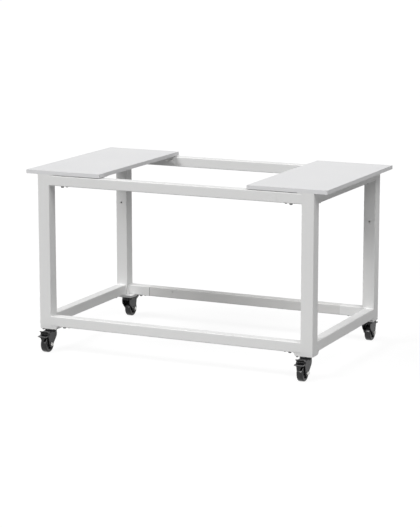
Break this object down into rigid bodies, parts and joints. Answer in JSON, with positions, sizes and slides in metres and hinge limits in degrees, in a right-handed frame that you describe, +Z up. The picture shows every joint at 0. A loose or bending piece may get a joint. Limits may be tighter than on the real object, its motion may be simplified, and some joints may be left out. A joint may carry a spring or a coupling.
{
  "type": "laser cutter cart",
  "caption": "White steel tube stand on braked swivel casters, with a shelf board at each end and an open bay between them for a desktop laser cutter.",
  "frame": {"origin": "on the floor under the middle of the stand", "axes": "+X along the stand to the right, -Y to its front, +Z up"},
  "size_m": [1.267, 0.8139, 0.725],
  "materials": {
    "frame_paint": "fine satin powder coat, light neutral grey-white",
    "board_face": "white melamine faced board, fine matt grain",
    "board_edging": "white edge banding, satin",
    "cap_plastic": "light grey moulded plastic",
    "zinc_steel": "bright zinc plated steel",
    "black_steel": "black enamelled or blackened steel, semi-gloss",
    "tread_rubber": "black moulded tread, matt",
    "hub_plastic": "black moulded plastic",
    "pedal_plastic": "black moulded plastic, semi-gloss",
    "bush_nylon": "natural nylon"
  },
  "bodies": {
    "frame": {"post_front_left": "frame_paint", "foot_front_left": "frame_paint", "post_front_right": "frame_paint", "foot_front_right": "frame_paint", "post_rear_left": "frame_paint", "foot_rear_left": "frame_paint", "post_rear_right": "frame_paint", "foot_rear_right": "frame_paint", "upper_rail_front": "frame_paint", "lower_rail_front": "frame_paint", "upper_rail_rear": "frame_paint", "lower_rail_rear": "frame_paint", "upper_rail_left": "frame_paint", "lower_rail_left": "frame_paint", "upper_rail_right": "frame_paint", "lower_rail_right": "frame_paint", "shelf_board_left": "board_face", "shelf_edging_left": "board_edging", "shelf_board_right": "board_face", "shelf_edging_right": "board_edging", "joining_sleeves": "frame_paint", "joint_bolts_upper": "black_steel", "joint_bolts_lower": "black_steel", "joint_nuts_upper": "zinc_steel", "joint_nuts_lower": "zinc_steel", "post_caps": "cap_plastic", "shelf_brackets": "frame_paint", "shelf_board_screws": "zinc_steel", "bracket_rail_screws": "zinc_steel", "foot_screws": "zinc_steel", "caster_stems": "zinc_steel", "stem_nuts": "zinc_steel", "swivel_races": "black_steel", "swivel_balls": "zinc_steel"},
    "swivel_front_left": {"fork_front_left": "black_steel", "axle_hardware_front_left": "zinc_steel"},
    "wheel_front_left": {"tyre_front_left": "tread_rubber", "hub_front_left": "hub_plastic", "bush_front_left": "bush_nylon"},
    "pedal_front_left": {"brake_pedal_front_left": "pedal_plastic"},
    "swivel_front_right": {"fork_front_right": "black_steel", "axle_hardware_front_right": "zinc_steel"},
    "wheel_front_right": {"tyre_front_right": "tread_rubber", "hub_front_right": "hub_plastic", "bush_front_right": "bush_nylon"},
    "pedal_front_right": {"brake_pedal_front_right": "pedal_plastic"},
    "swivel_rear_left": {"fork_rear_left": "black_steel", "axle_hardware_rear_left": "zinc_steel"},
    "wheel_rear_left": {"tyre_rear_left": "tread_rubber", "hub_rear_left": "hub_plastic", "bush_rear_left": "bush_nylon"},
    "pedal_rear_left": {"brake_pedal_rear_left": "pedal_plastic"},
    "swivel_rear_right": {"fork_rear_right": "black_steel", "axle_hardware_rear_right": "zinc_steel"},
    "wheel_rear_right": {"tyre_rear_right": "tread_rubber", "hub_rear_right": "hub_plastic", "bush_rear_right": "bush_nylon"},
    "pedal_rear_right": {"brake_pedal_rear_right": "pedal_plastic"}
  },
  "joints": [
    {"name": "swivel_turn_front_left", "type": "hinge", "parent": "frame", "child": "swivel_front_left", "pos_m": [-0.5465, -0.333, 0.085], "axis": [0, 0, 1], "continuous": true},
    {"name": "wheel_spin_front_left", "type": "hinge", "parent": "swivel_front_left", "child": "wheel_front_left", "pos_m": [-0.5465, -0.363, 0.033], "axis": [1, 0, 0], "continuous": true},
    {"name": "brake_press_front_left", "type": "hinge", "parent": "swivel_front_left", "child": "pedal_front_left", "pos_m": [-0.5465, -0.377, 0.074], "axis": [1, 0, 0], "range_deg": [-25, 10]},
    {"name": "swivel_turn_front_right", "type": "hinge", "parent": "frame", "child": "swivel_front_right", "pos_m": [0.5465, -0.333, 0.085], "axis": [0, 0, 1], "continuous": true},
    {"name": "wheel_spin_front_right", "type": "hinge", "parent": "swivel_front_right", "child": "wheel_front_right", "pos_m": [0.5465, -0.363, 0.033], "axis": [1, 0, 0], "continuous": true},
    {"name": "brake_press_front_right", "type": "hinge", "parent": "swivel_front_right", "child": "pedal_front_right", "pos_m": [0.5465, -0.377, 0.074], "axis": [1, 0, 0], "range_deg": [-25, 10]},
    {"name": "swivel_turn_rear_left", "type": "hinge", "parent": "frame", "child": "swivel_rear_left", "pos_m": [-0.5465, 0.333, 0.085], "axis": [0, 0, 1], "continuous": true},
    {"name": "wheel_spin_rear_left", "type": "hinge", "parent": "swivel_rear_left", "child": "wheel_rear_left", "pos_m": [-0.5465, 0.363, 0.033], "axis": [1, 0, 0], "continuous": true},
    {"name": "brake_press_rear_left", "type": "hinge", "parent": "swivel_rear_left", "child": "pedal_rear_left", "pos_m": [-0.5465, 0.377, 0.074], "axis": [-1, 0, 0], "range_deg": [0, 35]},
    {"name": "swivel_turn_rear_right", "type": "hinge", "parent": "frame", "child": "swivel_rear_right", "pos_m": [0.5465, 0.333, 0.085], "axis": [0, 0, 1], "continuous": true},
    {"name": "wheel_spin_rear_right", "type": "hinge", "parent": "swivel_rear_right", "child": "wheel_rear_right", "pos_m": [0.5465, 0.363, 0.033], "axis": [1, 0, 0], "continuous": true},
    {"name": "brake_press_rear_right", "type": "hinge", "parent": "swivel_rear_right", "child": "pedal_rear_right", "pos_m": [0.5465, 0.377, 0.074], "axis": [-1, 0, 0], "range_deg": [-25, 10]}
  ]
}
